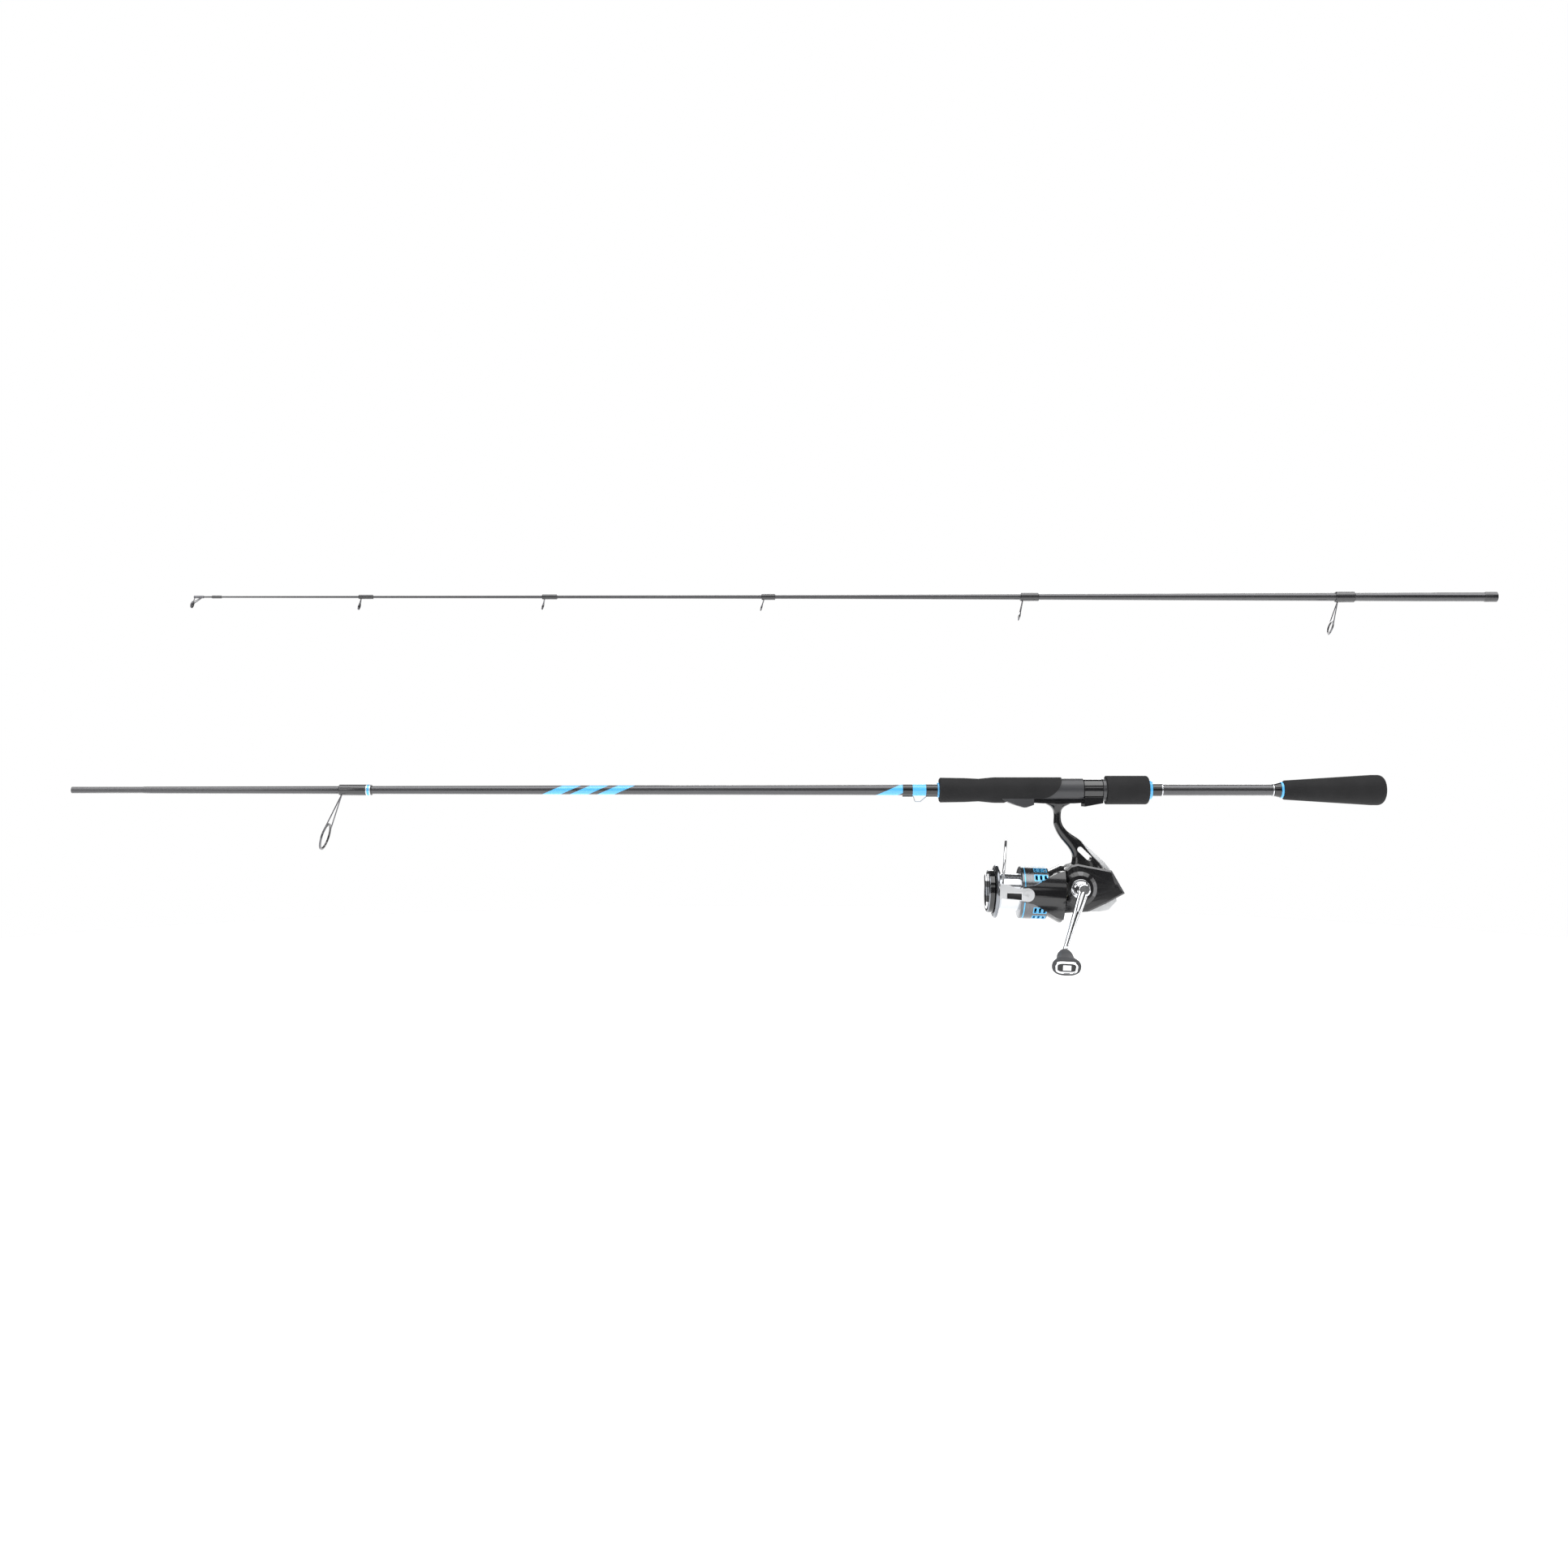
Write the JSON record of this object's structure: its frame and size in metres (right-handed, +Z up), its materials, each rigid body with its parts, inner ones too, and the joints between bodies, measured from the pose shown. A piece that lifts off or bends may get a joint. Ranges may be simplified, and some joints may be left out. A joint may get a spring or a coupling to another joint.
{
  "type": "spinning rod and reel",
  "caption": "Two-piece spinning fishing rod, sections side by side, with a spinning reel: turning crank and rotor, sliding spool, drag, swinging bail, screw-down seat.",
  "frame": {"origin": "on the butt section's axis, above the stem of the reel, where the hand holds the rod", "axes": "+X along the rod to its butt, -X to its tip, +Z up, reel hanging at -Z, crank at -Y"},
  "size_m": [1.1934, 0.1126, 0.3129],
  "materials": {
    "graphite_blank": "clear-coated dark graphite",
    "guide_metal": "dark gunsmoke wire",
    "guide_ceramic": "polished dark ceramic",
    "wrap_thread": "black thread under clear varnish",
    "blue_trim": "gloss sky blue",
    "keeper_steel": "polished stainless wire",
    "eva_foam": "fine-grained matte black EVA foam",
    "seat_plastic": "satin dark grey nylon",
    "gloss_black": "gloss black",
    "silver_trim": "bright silver",
    "reel_black": "gloss black paint",
    "white_guard": "pearl white",
    "screw_steel": "steel",
    "bright_chrome": "bright chrome",
    "bearing_steel": "ground steel",
    "gear_alloy": "cast zinc alloy",
    "pinion_brass": "machined brass",
    "nylon": "white acetal",
    "spool_metal": "anodised silver grey",
    "drag_felt": "greased felt",
    "knob_rubber": "dark grey rubber"
  },
  "bodies": {
    "butt_section": {"butt_blank": "graphite_blank", "butt_guide_frame": "guide_metal", "butt_guide_ring": "guide_ceramic", "butt_guide_wrap": "wrap_thread", "hook_keeper": "keeper_steel", "keeper_wraps": "wrap_thread", "keeper_band": "blue_trim", "winding_checks": "blue_trim", "foregrip": "eva_foam", "reel_seat": "seat_plastic", "rear_collar": "gloss_black", "trim_rings": "silver_trim", "butt_collar": "gloss_black", "butt_grip": "eva_foam", "reel_body": "reel_black", "side_cover": "reel_black", "rear_guard": "white_guard", "body_screws": "screw_steel", "handle_ring": "bright_chrome", "drive_bearings": "bearing_steel", "handle_cap": "gloss_black", "pinion_bearing": "bearing_steel", "one_way_clutch": "bearing_steel", "guide_rod": "screw_steel"},
    "sliding_hood": {"sliding_hood": "gloss_black"},
    "lock_nut": {"lock_nut": "gloss_black", "lock_nut_grip": "eva_foam", "lock_nut_check": "blue_trim"},
    "tip_section": {"tip_blank": "graphite_blank", "ferrule_wrap": "wrap_thread", "tip_guide_frames": "guide_metal", "tip_guide_rings": "guide_ceramic", "tip_guide_wraps": "wrap_thread", "tip_top_frame": "guide_metal", "tip_top_ring": "guide_ceramic"},
    "crank": {"drive_gear": "gear_alloy", "handle_arm": "bright_chrome", "handle_collar": "bright_chrome", "knob_shaft": "bearing_steel"},
    "handle_knob": {"knob_grip": "knob_rubber", "knob_bushes": "bearing_steel", "knob_cap": "bright_chrome"},
    "oscillation_gear": {"oscillation_gear": "nylon"},
    "main_shaft": {"main_shaft": "bearing_steel", "oscillation_slider": "nylon", "spool_washer": "screw_steel"},
    "spool": {"spool": "spool_metal", "spool_lip": "spool_metal", "drag_washers": "drag_felt"},
    "drag_knob": {"drag_knob": "gloss_black", "drag_knob_ring": "silver_trim", "drag_knob_bar": "spool_metal"},
    "rotor": {"pinion": "pinion_brass", "rotor": "reel_black", "rotor_nut": "screw_steel", "bail_screws": "screw_steel"},
    "bail": {"bail_arm": "bright_chrome", "bail_wire": "bright_chrome", "bail_lever": "bright_chrome"},
    "line_roller": {"line_roller": "bright_chrome"}
  },
  "joints": [
    {"name": "crank_turn", "type": "hinge", "parent": "butt_section", "child": "crank", "pos_m": [0.01659, -0.031, -0.0818], "axis": [0, -1, 0], "continuous": true},
    {"name": "crank_knob_spin", "type": "hinge", "parent": "crank", "child": "handle_knob", "pos_m": [-0.00252, -0.04803, -0.13161], "axis": [-0.109, -0.9527, -0.2838], "continuous": true},
    {"name": "rotor_turn", "type": "hinge", "parent": "butt_section", "child": "rotor", "pos_m": [-0.00999, 0, -0.08643], "axis": [-0.9993, 0, 0.0366], "continuous": true},
    {"name": "oscillation_gear_turn", "type": "hinge", "parent": "butt_section", "child": "oscillation_gear", "pos_m": [0.03158, 0.007, -0.08235], "axis": [0, -1, 0], "continuous": true},
    {"name": "spool_stroke", "type": "slide", "parent": "butt_section", "child": "main_shaft", "axis": [0.9993, 0, -0.0366], "range_m": [-0.014, 0]},
    {"name": "spool_drag_turn", "type": "hinge", "parent": "main_shaft", "child": "spool", "pos_m": [-0.03997, 0, -0.08533], "axis": [0.9993, 0, -0.0366], "continuous": true},
    {"name": "drag_knob_turn", "type": "hinge", "parent": "main_shaft", "child": "drag_knob", "pos_m": [-0.05496, 0, -0.08478], "axis": [0.9993, 0, -0.0366], "range_deg": [0, 720]},
    {"name": "bail_flip", "type": "hinge", "parent": "rotor", "child": "bail", "pos_m": [-0.02948, 0, -0.08572], "axis": [0, -1, 0], "range_deg": [0, 100]},
    {"name": "line_roller_spin", "type": "hinge", "parent": "bail", "child": "line_roller", "pos_m": [-0.04919, -0.0266, -0.08299], "axis": [0.0366, 0, 0.9993], "continuous": true},
    {"name": "hood_slide", "type": "slide", "parent": "butt_section", "child": "sliding_hood", "axis": [1, 0, 0], "range_m": [0, 0.0101]},
    {"name": "lock_nut_turn", "type": "hinge", "parent": "sliding_hood", "child": "lock_nut", "pos_m": [0.058, 0, 0], "axis": [1, 0, 0], "range_deg": [0, 1440]},
    {"name": "section_slide", "type": "slide", "parent": "butt_section", "child": "tip_section", "axis": [1, 0, 0], "range_m": [-1.2, 0]}
  ],
  "couplings": [
    {"joint": "rotor_turn", "follows": "crank_turn", "ratio": 5},
    {"joint": "oscillation_gear_turn", "follows": "crank_turn", "ratio": -0.5},
    {"joint": "hood_slide", "follows": "lock_nut_turn", "m_per_rad": 0.00039789}
  ]
}
